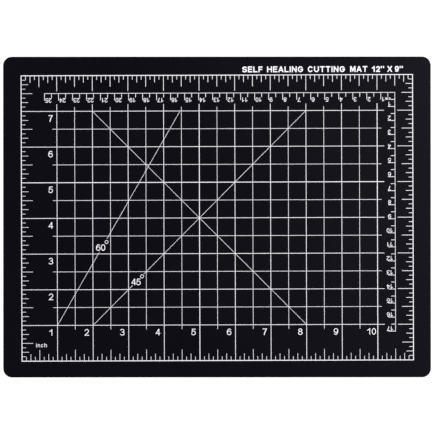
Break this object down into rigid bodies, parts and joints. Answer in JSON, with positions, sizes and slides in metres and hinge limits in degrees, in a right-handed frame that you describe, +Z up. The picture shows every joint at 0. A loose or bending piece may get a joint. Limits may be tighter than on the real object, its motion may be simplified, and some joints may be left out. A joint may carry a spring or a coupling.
{
  "type": "self healing cutting mat",
  "caption": "Flat laminated cutting mat with rounded corners, printed with an inch and a metric ruler, a half inch grid and 45 and 60 degree guide lines.",
  "frame": {"origin": "bottom centre: the middle of the underside, where the mat lies on a table", "axes": "+X along the long side, towards the end of the inch scale; +Y along the short side, towards the top edge as the inch numerals are read; +Z up, out of the printed face"},
  "size_m": [0.3048, 0.2286, 0.0032],
  "materials": {
    "soft_face_vinyl": "fine pebbled matte",
    "rigid_core": "matte cut edge",
    "soft_back_vinyl": "fine pebbled matte",
    "inch_ruler_ink": "satin screen print",
    "grid_ink": "satin screen print",
    "metric_ruler_ink": "satin screen print"
  },
  "bodies": {
    "root": {"face_healing_ply": "soft_face_vinyl", "rigid_core_ply": "rigid_core", "back_healing_ply": "soft_back_vinyl", "inch_ruler_print": "inch_ruler_ink", "half_inch_grid_print": "grid_ink", "metric_ruler_print": "metric_ruler_ink"}
  },
  "joints": []
}
